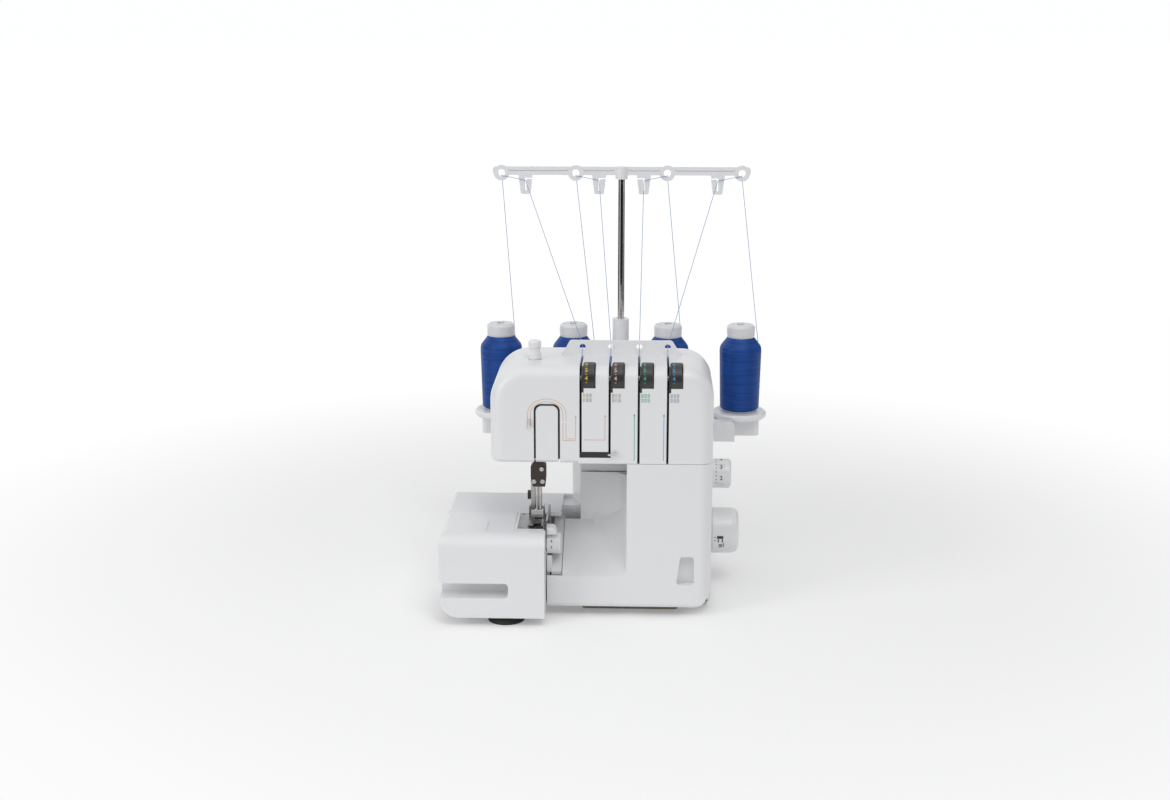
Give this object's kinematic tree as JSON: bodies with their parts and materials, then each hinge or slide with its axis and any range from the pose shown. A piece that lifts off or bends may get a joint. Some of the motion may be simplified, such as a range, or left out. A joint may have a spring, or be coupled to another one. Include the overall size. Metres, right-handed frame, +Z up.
{
  "type": "overlock sewing machine",
  "caption": "White overlock sewing machine with front tension dials, needle and presser assembly, swing-down front cover, slide-off table and a spool stand with a telescopic thread guide.",
  "frame": {"origin": "on the table surface under the middle of the bounding box", "axes": "+X to the operator's right, +Y to the back, +Z up; the operator is in front at -Y"},
  "size_m": [0.328, 0.274, 0.4191],
  "materials": {
    "white_shell": "fine satin white moulding",
    "dark_plastic": "matt black moulding",
    "dial_black": "black drum with coloured numbers",
    "satin_steel": "satin steel",
    "chrome_steel": "polished plated steel",
    "clamp_dark": "blackened steel",
    "frame_alloy": "cast alloy",
    "bush_brass": "sintered bronze",
    "motor_paint": "black enamel",
    "foot_rubber": "black rubber",
    "spool_clear": "milky translucent plastic",
    "thread_blue": "royal blue polyester thread"
  },
  "bodies": {
    "machine": {"base_plate": "frame_alloy", "rubber_feet": "foot_rubber", "main_frame": "frame_alloy", "column_casing": "white_shell", "side_cover": "white_shell", "power_inlet": "dark_plastic", "bed_casing": "white_shell", "head_front_shell": "white_shell", "head_rear_shell": "white_shell", "take_up_cover": "white_shell", "thread_guide_plate": "white_shell", "face_thread_guides": "chrome_steel", "tension_axle": "satin_steel", "tension_bracket": "satin_steel", "tension_discs": "dark_plastic", "shaft_bushes": "bush_brass", "motor": "motor_paint", "drive_belt": "foot_rubber", "needle_plate": "satin_steel", "lower_knife": "satin_steel", "pivot_pins": "satin_steel", "presser_spring": "satin_steel", "spool_stand": "white_shell", "spool_holders": "white_shell", "spool_cores": "spool_clear", "thread_windings": "thread_blue", "thread_1": "thread_blue", "thread_2": "thread_blue", "thread_3": "thread_blue", "thread_4": "thread_blue"},
    "drive_shaft": {"main_shaft": "satin_steel", "drive_pulley": "frame_alloy", "handwheel": "white_shell"},
    "motor_rotor": {"motor_pulley": "frame_alloy"},
    "needle_bar": {"needle_bar": "chrome_steel", "needle_clamp": "clamp_dark", "clamp_screws": "chrome_steel", "needles": "chrome_steel"},
    "upper_looper": {"upper_looper": "chrome_steel"},
    "lower_looper": {"lower_looper": "chrome_steel"},
    "upper_knife": {"upper_knife": "satin_steel"},
    "feed_dog": {"feed_dog": "satin_steel"},
    "presser_bar": {"presser_bar": "chrome_steel", "presser_ankle": "satin_steel"},
    "release_button": {"release_button": "dark_plastic"},
    "presser_foot": {"presser_foot": "satin_steel"},
    "presser_lever": {"presser_lever": "white_shell"},
    "pressure_knob": {"pressure_knob": "white_shell"},
    "tension_dial_1": {"tension_dial_1": "dial_black"},
    "tension_dial_2": {"tension_dial_2": "dial_black"},
    "tension_dial_3": {"tension_dial_3": "dial_black"},
    "tension_dial_4": {"tension_dial_4": "dial_black"},
    "stitch_length_dial": {"stitch_length_dial": "white_shell"},
    "stitch_width_dial": {"stitch_width_dial": "white_shell"},
    "cover_rail": {"cover_hinge_rod": "satin_steel"},
    "front_cover": {"front_cover": "white_shell"},
    "sub_table": {"sub_table": "white_shell"},
    "thread_pole": {"thread_pole": "chrome_steel", "thread_guide_bar": "white_shell"},
    "power_switch": {"power_switch": "dark_plastic"}
  },
  "joints": [
    {"name": "handwheel_turn", "type": "hinge", "parent": "machine", "child": "drive_shaft", "pos_m": [0.1, -0.008, 0.058], "axis": [1, 0, 0], "continuous": true},
    {"name": "motor_spin", "type": "hinge", "parent": "machine", "child": "motor_rotor", "pos_m": [0.06, 0.022, 0.106], "axis": [1, 0, 0], "continuous": true},
    {"name": "needle_bar_stroke", "type": "slide", "parent": "machine", "child": "needle_bar", "axis": [0, 0, 1], "range_m": [-0.026, 0]},
    {"name": "upper_looper_swing", "type": "hinge", "parent": "machine", "child": "upper_looper", "pos_m": [-0.026, -0.082, 0.04], "axis": [0, 1, 0], "range_deg": [-10, 0]},
    {"name": "lower_looper_swing", "type": "hinge", "parent": "machine", "child": "lower_looper", "pos_m": [-0.042, -0.079, 0.027], "axis": [0, 1, 0], "range_deg": [0, 4]},
    {"name": "upper_knife_cut", "type": "hinge", "parent": "machine", "child": "upper_knife", "pos_m": [-0.063, -0.034, 0.034], "axis": [1, 0, 0], "range_deg": [0, 6]},
    {"name": "feed_dog_shift", "type": "slide", "parent": "machine", "child": "feed_dog", "axis": [0, 1, 0], "range_m": [-0.002, 0]},
    {"name": "presser_lift", "type": "slide", "parent": "machine", "child": "presser_bar", "axis": [0, 0, 1], "range_m": [0, 0.005], "deforming": ["presser_spring"]},
    {"name": "presser_lever_turn", "type": "hinge", "parent": "machine", "child": "presser_lever", "pos_m": [-0.0765, -0.03, 0.168], "axis": [1, 0, 0], "range_deg": [0, 40]},
    {"name": "presser_foot_tilt", "type": "hinge", "parent": "presser_bar", "child": "presser_foot", "pos_m": [-0.0755, -0.066, 0.0988], "axis": [1, 0, 0], "range_deg": [-4, 0]},
    {"name": "release_button_press", "type": "slide", "parent": "presser_bar", "child": "release_button", "axis": [0, 1, 0], "range_m": [0, 0.0015], "stiffness_N_per_m": 200},
    {"name": "pressure_knob_turn", "type": "hinge", "parent": "machine", "child": "pressure_knob", "pos_m": [-0.0765, -0.066, 0.26], "axis": [0, 0, 1], "range_deg": [-180, 180]},
    {"name": "tension_dial_1_turn", "type": "hinge", "parent": "machine", "child": "tension_dial_1", "pos_m": [-0.0266, -0.0915, 0.237], "axis": [1, 0, 0], "range_deg": [-140, 160]},
    {"name": "tension_dial_2_turn", "type": "hinge", "parent": "machine", "child": "tension_dial_2", "pos_m": [0.0012, -0.0915, 0.237], "axis": [1, 0, 0], "range_deg": [-140, 160]},
    {"name": "tension_dial_3_turn", "type": "hinge", "parent": "machine", "child": "tension_dial_3", "pos_m": [0.029, -0.0915, 0.237], "axis": [1, 0, 0], "range_deg": [-140, 160]},
    {"name": "tension_dial_4_turn", "type": "hinge", "parent": "machine", "child": "tension_dial_4", "pos_m": [0.0568, -0.0915, 0.237], "axis": [1, 0, 0], "range_deg": [-140, 160]},
    {"name": "stitch_length_turn", "type": "hinge", "parent": "machine", "child": "stitch_length_dial", "pos_m": [0.11, -0.008, 0.1187], "axis": [1, 0, 0], "range_deg": [-90, 150]},
    {"name": "stitch_width_turn", "type": "hinge", "parent": "machine", "child": "stitch_width_dial", "pos_m": [-0.058, -0.09, 0.07], "axis": [1, 0, 0], "range_deg": [-120, 120]},
    {"name": "cover_slide", "type": "slide", "parent": "machine", "child": "cover_rail", "axis": [1, 0, 0], "range_m": [0, 0.008]},
    {"name": "cover_swing", "type": "hinge", "parent": "cover_rail", "child": "front_cover", "pos_m": [0, -0.096, 0.015], "axis": [1, 0, 0], "range_deg": [0, 80]},
    {"name": "sub_table_pull", "type": "slide", "parent": "machine", "child": "sub_table", "axis": [-1, 0, 0], "range_m": [0, 0.12]},
    {"name": "pole_slide", "type": "slide", "parent": "machine", "child": "thread_pole", "axis": [0, 0, 1], "range_m": [-0.1, 0], "deforming": ["thread_1", "thread_2", "thread_3", "thread_4"]},
    {"name": "power_switch_rock", "type": "hinge", "parent": "machine", "child": "power_switch", "pos_m": [0.089, 0.022, 0.048], "axis": [0, 1, 0], "range_deg": [0, 14]}
  ],
  "couplings": [
    {"joint": "motor_spin", "follows": "handwheel_turn", "ratio": 3},
    {"joint": "upper_looper_swing", "follows": "needle_bar_stroke", "rad_per_m": 6.6457},
    {"joint": "lower_looper_swing", "follows": "needle_bar_stroke", "rad_per_m": -2.618},
    {"joint": "upper_knife_cut", "follows": "needle_bar_stroke", "rad_per_m": -3.9606},
    {"joint": "feed_dog_shift", "follows": "needle_bar_stroke", "ratio": 0.0731},
    {"joint": "presser_lever_turn", "follows": "presser_lift", "rad_per_m": 137.88}
  ]
}
